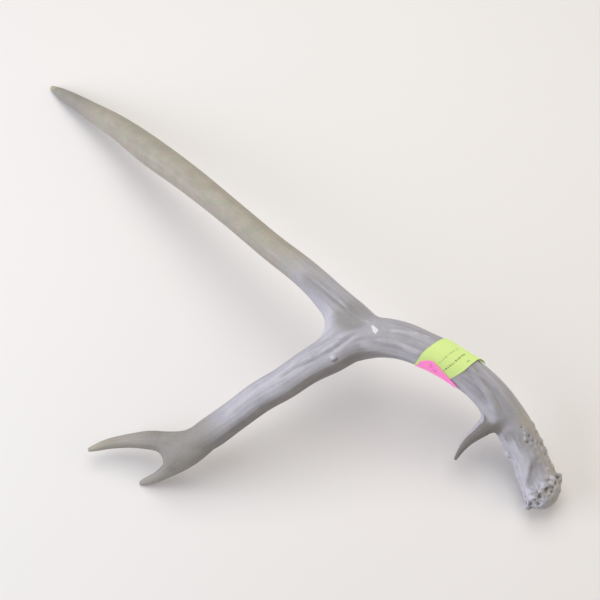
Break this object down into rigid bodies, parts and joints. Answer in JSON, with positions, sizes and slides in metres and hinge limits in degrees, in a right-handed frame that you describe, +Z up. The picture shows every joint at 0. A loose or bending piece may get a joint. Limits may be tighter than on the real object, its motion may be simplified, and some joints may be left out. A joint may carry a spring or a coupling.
{
  "type": "shed antler",
  "caption": "Deer antler shed from the left side of the head, painted grey, with a long tine, a branch that ends in a small fork, a brow tine, a knobbly burr and two paper stickers",
  "frame": {"origin": "on the floor, under the middle of the antler's outline seen from above", "axes": "+X towards the burr end, +Y towards the long tine's side, +Z up from the floor the antler lies on"},
  "size_m": [0.4308, 0.3994, 0.1009],
  "materials": {
    "painted_bone": "matte",
    "green_paper": "matte",
    "pink_paper": "matte"
  },
  "bodies": {
    "root": {"beam": "painted_bone", "brow_tine": "painted_bone", "long_tine": "painted_bone", "front_branch": "painted_bone", "upper_prong": "painted_bone", "lower_prong": "painted_bone", "green_sticker": "green_paper", "pink_sticker": "pink_paper"}
  },
  "joints": []
}
